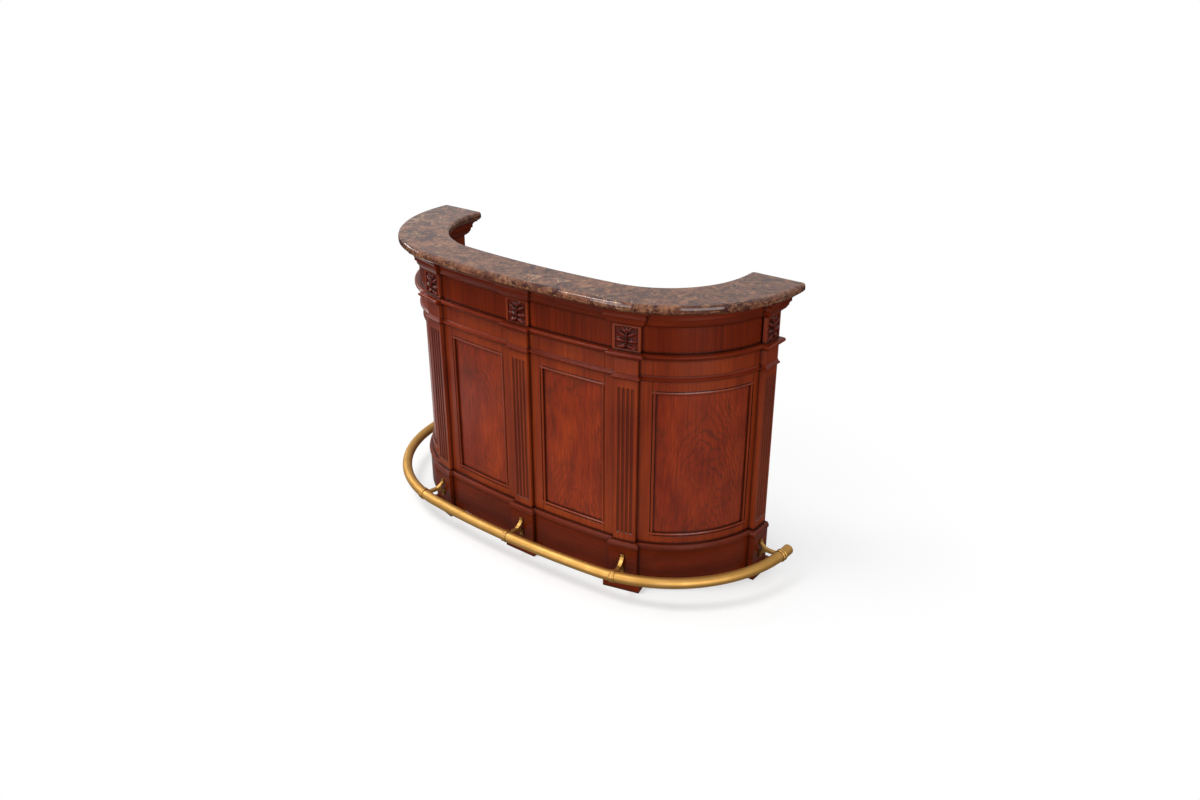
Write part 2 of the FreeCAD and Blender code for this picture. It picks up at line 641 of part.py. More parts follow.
wall_band = band(-LINING_INSET, FRIEZE_FACE, Z_SUB, Z_STONE)
sub_top = wall_band.fuse(RIGHT_END.box(PILASTER_HALF, -END_POST_BACK, FRIEZE_FACE, Z_SUB, Z_STONE))
block_cores = [s.box(BLOCK_WIDTH / 2, -FRAME_INSET, BLOCK_FACE, 0.0, Z_TOP) for s in STATIONS.values()]
for core in block_cores:
    sub_top = sub_top.cut(core)
save("sub_top", whole(sub_top))

posts = {name: post(s) for name, s in STATIONS.items()}
for name, station in STATIONS.items():
    pair = save if station is CENTRE else save_pair
    pair("post_" + name, posts[name])
    pair("pilaster_" + name, pilaster(station))
    pair("frieze_block_" + name, frieze_block(station))
    pair("plinth_" + name, plinth(station))
    pair("foot_" + name, foot(station))
    if station.end is None:
        pair("divider_" + name, divider(station))

post_list = list(posts.values())
save("ledge", whole(moulding(*LEDGE, -FRAME_INSET, FRIEZE_THICK - FRIEZE_PROUD, PILASTER_HALF, PILASTER_FACE,
                             post_list)))
save("base_cap", whole(moulding(*CAP, BASE_FACE, BASE_THICK, PLINTH_WIDTH / 2, PLINTH_FACE, post_list)))
shafts = [s.box(PILASTER_HALF, -FRAME_INSET, PILASTER_FACE, 0.0, Z_TOP) for s in STATIONS.values()]
save("necking", whole(moulding(*NECK, -FRAME_INSET, 0.0, PILASTER_HALF, PILASTER_FACE, shafts + post_list)))

for bay, (left, right, _) in BAYS.items():
    frame, panel = bay_frame(bay)
    save_pair("bay_frame_" + bay, frame)
    save_pair("panel_" + bay, panel)
    frieze = band(FRIEZE_FACE - FRIEZE_THICK, FRIEZE_FACE, Z_FRIEZE, Z_SUB, left.angle, right.angle)
    base = band(BASE_FACE - BASE_THICK, BASE_FACE, Z_BASE, Z_CAP, left.angle, right.angle)
    for station in (left, right):
        frieze = frieze.cut(post(station)).cut(station.box(BLOCK_WIDTH / 2, -FRAME_INSET, 0.0, 0.0, Z_TOP))
        base = base.cut(post(station)).cut(station.box(PLINTH_WIDTH / 2, -FRAME_INSET, 0.0, 0.0, Z_TOP))
    save_pair("frieze_" + bay, frieze)
    save_pair("baseboard_" + bay, base)

lining = band(-LINING_INSET, -POST_BACK, Z_BASE, Z_SUB).cut(posts["right_end"])
save("back_lining", whole(lining))

slots = [lower_slot(CENTRE), lower_slot(RIGHT), mirrored(lower_slot(RIGHT))]
save("bottom_board", shelf(Z_BASE, []))
save("shelf_lower", shelf(LOWER_SHELF, slots))
save("shelf_upper", shelf(UPPER_SHELF, []))

save("foot_rail", foot_rail())
cap = rail_end_cap()
save("rail_end_caps", Part.makeCompound([cap, mirrored(cap)]))
right_brackets = [rail_bracket(RIGHT), rail_bracket(RIGHT_END)]
save("rail_brackets", Part.makeCompound([rail_bracket(CENTRE)] + right_brackets
                                        + [mirrored(b) for b in right_brackets]))
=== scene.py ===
"""Looks of the curved home bar: lacquered cherry, polished brown marble and satin brass.

Lengths are in metres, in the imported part's frame: X along the bar, the guests' side at -Y and Z up.
"""
import math

import bpy
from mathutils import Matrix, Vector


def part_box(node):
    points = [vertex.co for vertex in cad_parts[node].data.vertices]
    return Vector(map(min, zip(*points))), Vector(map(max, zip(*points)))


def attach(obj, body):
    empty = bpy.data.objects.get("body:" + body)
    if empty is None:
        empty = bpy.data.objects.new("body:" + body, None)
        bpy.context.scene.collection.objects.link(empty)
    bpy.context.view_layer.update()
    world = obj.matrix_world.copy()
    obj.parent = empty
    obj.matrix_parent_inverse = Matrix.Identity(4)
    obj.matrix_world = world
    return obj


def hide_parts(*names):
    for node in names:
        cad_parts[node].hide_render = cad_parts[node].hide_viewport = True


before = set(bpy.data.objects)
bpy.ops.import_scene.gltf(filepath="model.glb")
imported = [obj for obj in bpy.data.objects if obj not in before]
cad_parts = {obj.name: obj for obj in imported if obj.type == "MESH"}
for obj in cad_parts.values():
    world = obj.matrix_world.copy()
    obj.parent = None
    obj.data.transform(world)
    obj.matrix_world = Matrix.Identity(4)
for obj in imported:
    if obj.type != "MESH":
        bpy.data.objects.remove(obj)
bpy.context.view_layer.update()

MM = 0.001

# Plan of the top's edge, a flat front arc that runs into two tight end arcs.
FRONT_RADIUS = 3533 * MM
FRONT_TURN = math.radians(6.18)
END_RADIUS = 478.6 * MM
EDGE_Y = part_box("stone_top")[0].y
CENTRES_APART = FRONT_RADIUS - END_RADIUS
END_X = CENTRES_APART * math.sin(FRONT_TURN)
END_Y = EDGE_Y + FRONT_RADIUS - CENTRES_APART * math.cos(FRONT_TURN)

# Pilasters, and the blocks above and below them. The end ones are cut off level with their pilaster.
STATIONS = ("centre", "right", "left", "right_end", "left_end")
STATION_TURN = math.radians(14.04)
PILASTER_WIDTH = 80 * MM
BLOCK_WIDTH = 96 * MM
PLINTH_WIDTH = 104 * MM
BLOCK_FACE = EDGE_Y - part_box("frieze_block_centre")[0].y
PLINTH_FACE = EDGE_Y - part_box("plinth_centre")[0].y

# Curved panels of the side bays, by the turn of their middle and their depth behind the top's edge.
SIDE_PANEL_TURN = math.radians(50.9)
PANEL_INSET = 78 * MM

# Sunk squares of the frieze blocks.
SINK_WIDTH = 78 * MM
SINK_HEIGHT = 75 * MM
SINK_DEPTH = 4 * MM
SINK_RISE = 7 * MM
SINK_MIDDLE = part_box("frieze_block_centre")[0].z + SINK_RISE + SINK_HEIGHT / 2

# Carved leaf that fills a sunk square. It is modelled on a ground that is too thick and too large, then cut
# at LEAF_BACK behind and with a gap all round.
LEAF_GROUND = 4.0 * MM
LEAF_WASTE = 4.0 * MM
GROUND_SINK = 0.6 * MM
LEAF_BACK = 2.0 * MM
LEAF_GAP = 0.15 * MM
LEAF_SEAT = 0.05 * MM
LEAF_VOXEL = 0.6 * MM
LEAF_SMOOTHING = 2
LOBE_SIDES = 20
LOBE_RINGS = 12
# Start of a lobe past its root, then its rib: shares of the lobe's length and width, and extra thickness.
# LOBE_START and RIB_EXTRA are in millimetres.
LOBE_START = 1
RIB_LENGTH = 0.85
RIB_WIDTH = 0.25
RIB_EXTRA = 2.5
CURL_SIZE = (14 * MM, 14 * MM, 13 * MM)
CURL_APART = 22 * MM
CURL_DROP = 29 * MM
# Lobes in millimetres and degrees: height of the root, turn from upright, length, width and thickness.
LEAF_LOBES = ((-34, 0, 68, 7, 15), (12, 0, 27, 13, 12), (15, 38, 30, 12, 11), (3, 60, 37, 14, 13),
              (-11, 84, 38, 15, 14), (-23, 112, 33, 13, 12))

# Foot rail, bracket pads and screws.
RAIL_RADIUS = 19 * MM
RAIL_WALL = 1.5 * MM
RAIL_REACH = 40 * MM
RAIL_PAST_END = 4 * MM
RAIL_HEIGHT = sum(corner.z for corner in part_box("foot_rail")) / 2
PAD_THICK = 5 * MM
SCREW_RISE = 31 * MM
SCREW_RADIUS = 3.3 * MM
SCREW_HEIGHT = 2.0 * MM
SCREW_ROUND = 1.2 * MM
SLOT_SIZE = (8 * MM, 0.9 * MM, 1.2 * MM)
# Faces round the rail and a screw, steps along the rail's arcs and round a screw's edge, merge distances.
RAIL_SIDES = 40
SCREW_SIDES = 24
FRONT_STEPS = 12
END_STEPS = 60
ROUND_STEPS = 3
MIRROR_MERGE = 0.1 * MM
SEAM_MERGE = 0.01 * MM

# Size of the woods' marks along X, Y and Z in millimetres. Real grain and pores are finer. They are drawn as
# coarse as this so that they show in the render.
UPRIGHT_GRAIN = (5.3, 5.3, 200)
LEVEL_GRAIN = (200, 200, 4.8)
VENEER_GRAIN = (3.8, 3.8, 400)
CROTCH_GRAIN = (5, 5, 80)
CARVED_GRAIN = (11, 11, 11)
UPRIGHT_CLOUD = (125, 125, 500)
LEVEL_CLOUD = (330, 330, 100)
VENEER_CLOUD = (71, 71, 1000)
CROTCH_CLOUD = (100, 100, 250)
CARVED_CLOUD = (25, 25, 25)
FIGURE_WANDER = (110, 110, 330)
FIGURE_PATCH = (200, 200, 330)
FIGURE_SMOKE = (60, 60, 130)
PORES_PER_LINE = 3.2

# Arched lines of the crotch veneer: distance between them, sway, and the curve and height of the arch.
FIGURE_LINES = 42 * MM
FIGURE_SWAY = 220 * MM
ARCH_POWER = 1.6
ARCH_RISE = 7.0

# Lacquer on the wood: reach of the painted shade from a corner, radius of the eased edges and depth of the
# grain.
CORNER_SHADE_REACH = 11 * MM
WOOD_EASE = 1.2 * MM
GRAIN_DEPTH = 0.2 * MM

# Marble: how far its pattern is folded and over what length, then the sizes of its marks. Real grit is finer.
# It is drawn as coarse as this so that it shows in the render.
MARBLE_FOLD = 100 * MM
MARBLE_DRIFT = 110 * MM
MARBLE_PATCH = 58 * MM
MARBLE_GRIT = 18 * MM
MARBLE_CELL = 71 * MM
MARBLE_BREAK = 140 * MM
STONE_EASE = 4 * MM

# Brass: size of the cloudy wear, reach of the painted shade from a corner, and radius of the eased edges.
BRASS_WEAR = 71 * MM
CONTACT_SHADE_REACH = 5 * MM
TUBE_EASE = 0.3 * MM
CAST_EASE = 0.5 * MM

# Camera, fitted to the photo's outline, and studio.
CAMERA_PLACE = (2.2125, EDGE_Y - 2.3702, 2.1424)
CAMERA_TILT = math.radians(25.158)
CAMERA_TURN = math.radians(37.484)
CAMERA_LENS = 31.32
CAMERA_SENSOR = 36.0
FLOOR_SIZE = 60.0
WHITE = (1.0, 1.0, 1.0, 1.0)
SURROUND_STRENGTH = 0.62

# Studio paper, by distances in metres from the middle of the bar. PAPER_OVAL makes those along Y count more.
PAPER_BLOTCH = 0.5
PAPER_OVAL = (1.0, 2.2, 1.0)
DIM_NEAR = 0.95
DIM_FAR = 3.6
GLOW_FROM_X = -0.8
GLOW_FULL_X = -1.3
GLOW_FULL = 2.0
GLOW_END = 2.8
FADE_NEAR = 0.7
FADE_FAR = 1.6
FADE_LEAST = 0.45


def add(tree, kind, inputs=None, **settings):
    """Adds a node with its settings, and gives its sockets values or links from nodes and their outputs.

    Sockets go by name or number. A map range takes its value, the range read and the range given as 0 to 4.
    A colour mix takes its share as 0 and its two colours as 6 and 7.
    """
    node = tree.nodes.new(kind)
    for key, value in settings.items():
        setattr(node, key, value)
    for key, value in (inputs or {}).items():
        if isinstance(value, bpy.types.Node):
            value = next(output for output in value.outputs if output.enabled)
        if isinstance(value, bpy.types.NodeSocket):
            tree.links.new(value, node.inputs[key])
        else:
            node.inputs[key].default_value = value
    return node


def rgb(code):
    """Linear colour of an sRGB hex code."""
    parts = [int(code[i:i + 2], 16) / 255 for i in (1, 3, 5)]
    return tuple(c / 12.92 if c <= 0.04045 else ((c + 0.055) / 1.055) ** 2.4 for c in parts) + (1.0,)


def per_metre(marks):
    """How many marks of these sizes, in millimetres, a metre holds along X, Y and Z."""
    return tuple(1 / (size * MM) for size in marks)


def start(name):
    """A new material with an empty node tree, and the object coordinates in metres that its patterns read."""
    material = bpy.data.materials.new(name)
    material.use_nodes = True
    material.node_tree.nodes.clear()
    place = add(material.node_tree, "ShaderNodeTexCoord").outputs["Object"]
    return material, material.node_tree, place


def surface(tree, inputs):
    """Ends a material in one surface."""
    shader = add(tree, "ShaderNodeBsdfPrincipled", inputs)
    add(tree, "ShaderNodeOutputMaterial", {"Surface": shader})


def stained_grain(tree, place, dark, light, grain, cloud, streaks):
    """Colour of stained cherry: cloudy stain between two tones, with darker streaks along the grain."""
    along = add(tree, "ShaderNodeVectorMath", {0: place, 1: per_metre(grain)}, operation="MULTIPLY")
    streak = add(tree, "ShaderNodeTexNoise",
                 {"Vector": along, "Scale": 1.0, "Detail": 4.0, "Roughness": 0.6, "Distortion": 0.3})
    drift = add(tree, "ShaderNodeVectorMath", {0: place, 1: per_metre(cloud)}, operation="MULTIPLY")
    stain = add(tree, "ShaderNodeTexNoise",
                {"Vector": drift, "Scale": 1.0, "Detail": 3.0, "Roughness": 0.55, "Distortion": 0.6})
    tone = add(tree, "ShaderNodeMapRange", {0: stain, 1: 0.3, 2: 0.7})
    colour = add(tree, "ShaderNodeMix", {0: tone, 6: rgb(dark), 7: rgb(light)}, data_type="RGBA")
    deep = add(tree, "ShaderNodeMapRange", {0: streak, 1: 0.35, 2: 0.62, 3: streaks, 4: 0.0})
    colour = add(tree, "ShaderNodeMix", {0: deep, 6: colour, 7: rgb("#2E0F09")}, data_type="RGBA")
    return colour, streak


def lacquer(tree, place, colour, streak, grain, rough, specular):
    """Clear lacquer over wood: open pores, painted shade darkening the corners, eased edges and a soft gloss.
    """
    fine = add(tree, "ShaderNodeVectorMath",
               {0: place, 1: per_metre([size / PORES_PER_LINE for size in grain])}, operation="MULTIPLY")
    pores = add(tree, "ShaderNodeTexNoise", {"Vector": fine, "Scale": 1.0, "Detail": 2.0})
    pore = add(tree, "ShaderNodeMapRange", {0: pores, 1: 0.62, 2: 0.72, 3: 0.0, 4: 0.25})
    colour = add(tree, "ShaderNodeMix", {0: pore, 6: colour, 7: rgb("#240B07")}, data_type="RGBA")
    # Painted shade: ambient occlusion darkens the wood towards corners, creases and hollows.
    corner = add(tree, "ShaderNodeAmbientOcclusion", {"Distance": CORNER_SHADE_REACH}, samples=8).outputs["AO"]
    painted_corner_shade = add(tree, "ShaderNodeMapRange", {0: corner, 1: 0.5, 2: 0.97, 3: 0.97, 4: 0.0})
    colour = add(tree, "ShaderNodeMix", {0: painted_corner_shade, 6: colour, 7: rgb("#180704")}, data_type="RGBA")
    eased = add(tree, "ShaderNodeBevel", {"Radius": WOOD_EASE}, samples=16)
    raised = add(tree, "ShaderNodeBump",
                 {"Strength": 0.12, "Distance": GRAIN_DEPTH, "Height": streak, "Normal": eased})
    surface(tree, {"Base Color": colour, "Normal": raised, "Roughness": rough, "IOR": 1.45,
                   "Specular IOR Level": specular})


def cherry(name, dark, light, grain, cloud, streaks, rough=0.3, specular=0.5):
    """Stained cherry under clear lacquer: deep red-brown with fine dark lines along the grain."""
    material, tree, place = start(name)
    colour, streak = stained_grain(tree, place, dark, light, grain, cloud, streaks)
    lacquer(tree, place, colour, streak, grain, rough, specular)
    return material


def crotch_veneer(panel):
    """Lacquered crotch veneer: red-brown wood with arched dark lines, as where a branch leaves the trunk."""
    material, tree, place = start("lacquered crotch veneer, " + panel.replace("_", " "))
    colour, streak = stained_grain(tree, place, "#762109", "#98350E", CROTCH_GRAIN, CROTCH_CLOUD,
                                   streaks=0.45)
    x, y, z = add(tree, "ShaderNodeSeparateXYZ", {0: place}).outputs
    if panel.endswith("front"):
        low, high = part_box(panel)
        across = add(tree, "ShaderNodeMath", {0: x, 1: (low.x + high.x) / 2}, operation="SUBTRACT")
    else:
        side = 1.0 if "right" in panel else -1.0
        radius = END_RADIUS - PANEL_INSET
        outward = add(tree, "ShaderNodeMath", {0: x, 1: side, 2: -END_X}, operation="MULTIPLY_ADD")
        ahead = add(tree, "ShaderNodeMath", {0: END_Y, 1: y}, operation="SUBTRACT")
        turn = add(tree, "ShaderNodeMath", {0: outward, 1: ahead}, operation="ARCTAN2")
        across = add(tree, "ShaderNodeMath", {0: turn, 1: radius, 2: -SIDE_PANEL_TURN * radius},
                     operation="MULTIPLY_ADD")
    # The lines sink away from the panel's middle, and sway.
    off = add(tree, "ShaderNodeMath", {0: across}, operation="ABSOLUTE")
    arch = add(tree, "ShaderNodeMath", {0: off, 1: ARCH_POWER}, operation="POWER")
    rise = add(tree, "ShaderNodeMath", {0: arch, 1: ARCH_RISE, 2: z}, operation="MULTIPLY_ADD")
    spread = add(tree, "ShaderNodeVectorMath", {0: place, 1: per_metre(FIGURE_WANDER)}, operation="MULTIPLY")
    wander = add(tree, "ShaderNodeTexNoise",
                 {"Vector": spread, "Scale": 1.0, "Detail": 4.0, "Roughness": 0.6, "Distortion": 0.8})
    rise = add(tree, "ShaderNodeMath", {0: wander, 1: FIGURE_SWAY, 2: rise}, operation="MULTIPLY_ADD")
    wave = add(tree, "ShaderNodeMath", {0: rise, 1: 2 * math.pi / FIGURE_LINES}, operation="MULTIPLY")
    ring = add(tree, "ShaderNodeMath", {0: wave}, operation="SINE")
    line = add(tree, "ShaderNodeMapRange", {0: ring, 1: 0.55, 2: 1.0})
    # They show in patches, between smoky dark clouds of stain.
    spread = add(tree, "ShaderNodeVectorMath", {0: place, 1: per_metre(FIGURE_PATCH)}, operation="MULTIPLY")
    patches = add(tree, "ShaderNodeTexNoise", {"Vector": spread, "Scale": 1.0, "Detail": 2.0})
    patch = add(tree, "ShaderNodeMapRange", {0: patches, 1: 0.4, 2: 0.62, 3: 0.0, 4: 0.5})
    spread = add(tree, "ShaderNodeVectorMath", {0: place, 1: per_metre(FIGURE_SMOKE)}, operation="MULTIPLY")
    clouds = add(tree, "ShaderNodeTexNoise",
                 {"Vector": spread, "Scale": 1.0, "Detail": 3.0, "Roughness": 0.6, "Distortion": 1.0})
    smoke = add(tree, "ShaderNodeMapRange", {0: clouds, 1: 0.56, 2: 0.72, 3: 0.0, 4: 0.4})
    figure = add(tree, "ShaderNodeMath", {0: line, 1: patch, 2: smoke}, operation="MULTIPLY_ADD")
    colour = add(tree, "ShaderNodeMix", {0: figure, 6: colour, 7: rgb("#391B10")}, data_type="RGBA")
    lacquer(tree, place, colour, streak, CROTCH_GRAIN, rough=0.3, specular=0.5)
    return material


def brown_marble():
    """Polished brown marble: brown fragments in a darker ground, tan and dark grit, fine pale veins."""
    material, tree, place = start("polished brown marble")
    drift = add(tree, "ShaderNodeTexNoise",
                {"Vector": place, "Scale": 1 / MARBLE_DRIFT, "Detail": 5.0, "Roughness": 0.6})
    folded = add(tree, "ShaderNodeVectorMath", {0: drift.outputs["Color"], 1: (MARBLE_FOLD,) * 3, 2: place},
                 operation="MULTIPLY_ADD")
    patches = add(tree, "ShaderNodeTexNoise", {"Vector": folded, "Scale": 1 / MARBLE_PATCH, "Detail": 7.0,
                                               "Roughness": 0.6, "Distortion": 1.2})
    patch = add(tree, "ShaderNodeMapRange", {0: patches, 1: 0.37, 2: 0.63})
    colour = add(tree, "ShaderNodeMix", {0: patch, 6: rgb("#381716"), 7: rgb("#7C4F39")}, data_type="RGBA")
    grit = add(tree, "ShaderNodeTexNoise", {"Vector": folded, "Scale": 1 / MARBLE_GRIT, "Detail": 5.0,
                                            "Roughness": 0.6, "Distortion": 1.0})
    tan = add(tree, "ShaderNodeMapRange", {0: grit, 1: 0.52, 2: 0.7, 3: 0.0, 4: 0.65})
    colour = add(tree, "ShaderNodeMix", {0: tan, 6: colour, 7: rgb("#AD7C55")}, data_type="RGBA")
    dark = add(tree, "ShaderNodeMapRange", {0: grit, 1: 0.48, 2: 0.32, 3: 0.0, 4: 0.6})
    colour = add(tree, "ShaderNodeMix", {0: dark, 6: colour, 7: rgb("#2A0F0F")}, data_type="RGBA")
    cells = add(tree, "ShaderNodeTexVoronoi", {"Vector": folded, "Scale": 1 / MARBLE_CELL},
                feature="DISTANCE_TO_EDGE")
    crack = add(tree, "ShaderNodeMapRange", {0: cells, 1: 0.0, 2: 0.025, 3: 0.65, 4: 0.0})
    breaks = add(tree, "ShaderNodeTexNoise", {"Vector": place, "Scale": 1 / MARBLE_BREAK, "Detail": 2.0})
    shown = add(tree, "ShaderNodeMapRange", {0: breaks, 1: 0.5, 2: 0.63})
    vein = add(tree, "ShaderNodeMath", {0: crack, 1: shown}, operation="MULTIPLY")
    colour = add(tree, "ShaderNodeMix", {0: vein, 6: colour, 7: rgb("#C4A684")}, data_type="RGBA")
    eased = add(tree, "ShaderNodeBevel", {"Radius": STONE_EASE}, samples=6)
    surface(tree, {"Base Color": colour, "Normal": eased, "Roughness": 0.05, "IOR": 1.5,
                   "Specular IOR Level": 0.42})
    return material


def satin_brass(name, tone, rough, ease):
    """Satin brass: a warm metal with a soft sheen, faintly clouded, with painted shade darkening it where
    parts meet.
    """
    material, tree, place = start(name)
    wear = add(tree, "ShaderNodeTexNoise", {"Vector": place, "Scale": 1 / BRASS_WEAR, "Detail": 3.0})
    cloud = add(tree, "ShaderNodeMapRange", {0: wear, 1: 0.3, 2: 0.7})
    colour = add(tree, "ShaderNodeMix", {0: cloud, 6: rgb(tone), 7: rgb("#C4954F")}, data_type="RGBA")
    # Painted shade: ambient occlusion darkens the brass where parts meet, in place of contact shadows.
    corner = add(tree, "ShaderNodeAmbientOcclusion", {"Distance": CONTACT_SHADE_REACH}, samples=8).outputs["AO"]
    painted_contact_shade = add(tree, "ShaderNodeMapRange", {0: corner, 1: 0.4, 2: 0.95, 3: 0.9, 4: 0.0})
    colour = add(tree, "ShaderNodeMix", {0: painted_contact_shade, 6: colour, 7: rgb("#4A2A0E")}, data_type="RGBA")
    dull = add(tree, "ShaderNodeMapRange", {0: wear, 1: 0.3, 2: 0.7, 3: rough - 0.03, 4: rough + 0.04})
    eased = add(tree, "ShaderNodeBevel", {"Radius": ease}, samples=8)
    surface(tree, {"Base Color": colour, "Normal": eased, "Roughness": dull, "Metallic": 1.0})
    return material


upright = cherry("lacquered cherry, upright grain", "#6E2007", "#8E350C", UPRIGHT_GRAIN, UPRIGHT_CLOUD,
                 streaks=0.35)
level = cherry("lacquered cherry, level grain", "#521804", "#702305", LEVEL_GRAIN, LEVEL_CLOUD,
               streaks=0.3, rough=0.26, specular=0.3)
moulded = cherry("lacquered cherry mouldings", "#5C1804", "#7A2706", LEVEL_GRAIN, LEVEL_CLOUD,
                 streaks=0.3, specular=0.25)
veneer = cherry("lacquered cherry veneer", "#581603", "#7B2706", VENEER_GRAIN, VENEER_CLOUD,
                streaks=0.5, rough=0.26, specular=0.3)
inner = cherry("satin cherry plywood", "#561807", "#70260B", LEVEL_GRAIN, LEVEL_CLOUD,
               streaks=0.3, rough=0.4)
# Its hollows are darkened by the painted shade of the lacquer.
carved = cherry("carved cherry with painted shade in its hollows", "#4E1308", "#6C1E0C", CARVED_GRAIN, CARVED_CLOUD,
                streaks=0.4, rough=0.24, specular=0.3)
stone = brown_marble()
tube_brass = satin_brass("satin brass tube", "#D6A75F", rough=0.52, ease=TUBE_EASE)
cast_brass = satin_brass("satin cast brass", "#CDA05C", rough=0.46, ease=CAST_EASE)

# Finish of each node by the start of its name. The first that fits is taken.
FINISHES = {
    "stone_top": stone, "foot_rail": tube_brass, "rail_end_caps": tube_brass, "rail_brackets": cast_brass,
    "frieze_block": upright, "frieze": veneer, "bay_frame": upright, "pilaster": upright, "post": upright,
    "cornice": moulded, "ledge": moulded, "necking": moulded, "base": level, "plinth": level, "foot": level,
    "shelf": inner, "divider": inner, "bottom_board": inner, "sub_top": inner, "back_lining": inner,
}
for name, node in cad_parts.items():
    node.data.materials.clear()
    if name.startswith("panel"):
        node.data.materials.append(crotch_veneer(name))
    else:
        fitting = (finish for words, finish in FINISHES.items() if name.startswith(words))
        node.data.materials.append(next(fitting))


def station(name):
    """Point on the top's edge in front of a pilaster, and the turn of the pilaster's face from the front."""
    side = -1.0 if name.startswith("left") else 1.0
    if name == "centre":
        return 0.0, EDGE_Y, 0.0
    if name.endswith("_end"):
        return side * (END_X + END_RADIUS), END_Y - PILASTER_WIDTH / 2, side * math.pi / 2
    x = END_X + END_RADIUS * math.sin(STATION_TURN)
    y = END_Y - END_RADIUS * math.cos(STATION_TURN)
    return side * x, y, side * STATION_TURN


# Run in the background, Blender's rotate and spin turn against the usual sign, so their angles are negated.
def pick(obj):
    """Leaves one object selected and active."""
    bpy.ops.object.select_all(action="DESELECT")
    obj.select_set(True)
    bpy.context.view_layer.objects.active = obj


def stand_copy(model, name, at, wide, out, z, finish):
    """Stands a copy of a piece, made lying flat, against a block of some width above or below a pilaster."""
    pick(model)
    bpy.ops.object.duplicate(linked=False)
    piece = bpy.context.object
    piece.name = name
    x, y, turn = station(at)
    shift = 0.0
    # An end block loses a strip to the end plane, so its middle moves by half the strip.
    if at.endswith("_end"):
        shift = -math.copysign((wide - PILASTER_WIDTH) / 4, turn)
    bpy.ops.transform.rotate(value=-math.pi / 2, orient_axis="X", center_override=(0.0, 0.0, 0.0))
    bpy.ops.transform.rotate(value=-turn, orient_axis="Z", center_override=(0.0, 0.0, 0.0))
    bpy.ops.transform.translate(value=(x + shift * math.cos(turn) + out * math.sin(turn),
                                       y + shift * math.sin(turn) - out * math.cos(turn), z))
    bpy.ops.object.transform_apply(location=True, rotation=True, scale=True)
    piece.data.materials.append(finish)
    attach(piece, "root")


def lobe(size, reach, turn, place):
    """One drop of a leaf, pushed outward, turned about the root and set at its place."""
    bpy.ops.mesh.primitive_uv_sphere_add(segments=LOBE_SIDES, ring_count=LOBE_RINGS, radius=0.5,
                                         location=(0.0, 0.0, 0.0))
    bpy.ops.transform.resize(value=size)
    bpy.ops.transform.translate(value=(reach, 0.0, 0.0))
    bpy.ops.transform.rotate(value=-turn, orient_axis="Z", center_override=(0.0, 0.0, 0.0))
    bpy.ops.transform.translate(value=place)
    return bpy.context.object


def carved_leaf(width):
    """Leaf on a thin ground, lying flat: ribbed lobes in pairs along a spine, a tip and two curls."""
    bpy.ops.object.select_all(action="DESELECT")
    bpy.ops.mesh.primitive_cube_add(size=1.0, location=(0.0, 0.0, -GROUND_SINK - LEAF_GROUND / 2))
    bpy.ops.transform.resize(value=(width + LEAF_WASTE, SINK_HEIGHT + LEAF_WASTE, LEAF_GROUND))
    made = [bpy.context.object]
    for root, turn, length, wide, high in LEAF_LOBES:
        reach = (LOBE_START + length / 2) * MM
        leaf = (length * MM, wide * MM, high * MM)
        rib = (RIB_LENGTH * length * MM, RIB_WIDTH * wide * MM, (high + RIB_EXTRA) * MM)
        for side in (-1, 1) if turn else (1,):
            outward = math.radians(90 + side * turn)
            made.append(lobe(leaf, reach, outward, (0.0, root * MM, 0.0)))
            made.append(lobe(rib, reach, outward, (0.0, root * MM, 0.0)))
    for side in (-1, 1):
        made.append(lobe(CURL_SIZE, 0.0, 0.0, (side * CURL_APART / 2, -CURL_DROP, 0.0)))
    for obj in made:
        obj.select_set(True)
    bpy.context.view_layer.objects.active = made[0]
    bpy.ops.object.join()
    leaf = bpy.context.object
    bpy.ops.object.transform_apply(location=True, rotation=True, scale=True)
    skin = leaf.modifiers.new("skin", "REMESH")
    skin.mode = "VOXEL"
    skin.voxel_size = LEAF_VOXEL
    bpy.ops.object.modifier_apply(modifier="skin")
    soft = leaf.modifiers.new("soft", "SMOOTH")
    soft.iterations = LEAF_SMOOTHING
    bpy.ops.object.modifier_apply(modifier="soft")
    half_width = width / 2 - LEAF_GAP
    half_height = SINK_HEIGHT / 2 - LEAF_GAP
    cuts = (((0, 0, -1), LEAF_BACK), ((1, 0, 0), half_width), ((-1, 0, 0), half_width),
            ((0, 1, 0), half_height), ((0, -1, 0), half_height))
    bpy.ops.object.mode_set(mode="EDIT")
    for way, reach in cuts:
        bpy.ops.mesh.select_all(action="SELECT")
        limit = tuple(reach * c for c in way)
        bpy.ops.mesh.bisect(plane_co=limit, plane_no=way, use_fill=True, clear_outer=True)
    bpy.ops.mesh.select_all(action="SELECT")
    bpy.ops.mesh.normals_make_consistent(inside=False)
    bpy.ops.object.mode_set(mode="OBJECT")
    bpy.ops.object.shade_smooth()
    return leaf


def slotted_screw():
    """Round-head screw with a slot, head up."""
    bpy.ops.object.select_all(action="DESELECT")
    bpy.ops.mesh.primitive_cylinder_add(vertices=SCREW_SIDES, radius=SCREW_RADIUS, depth=SCREW_HEIGHT,
                                        location=(0.0, 0.0, SCREW_HEIGHT / 2))
    head = bpy.context.object
    dome = head.modifiers.new("dome", "BEVEL")
    dome.width = SCREW_ROUND
    dome.segments = ROUND_STEPS
    bpy.ops.object.modifier_apply(modifier="dome")
    bpy.ops.mesh.primitive_cube_add(size=1.0, location=(0.0, 0.0, SCREW_HEIGHT))
    bpy.ops.transform.resize(value=SLOT_SIZE)
    blade = bpy.context.object
    pick(head)
    slot = head.modifiers.new("slot", "BOOLEAN")
    slot.operation = "DIFFERENCE"
    slot.object = blade
    bpy.ops.object.modifier_apply(modifier="slot")
    bpy.data.objects.remove(blade)
    return head


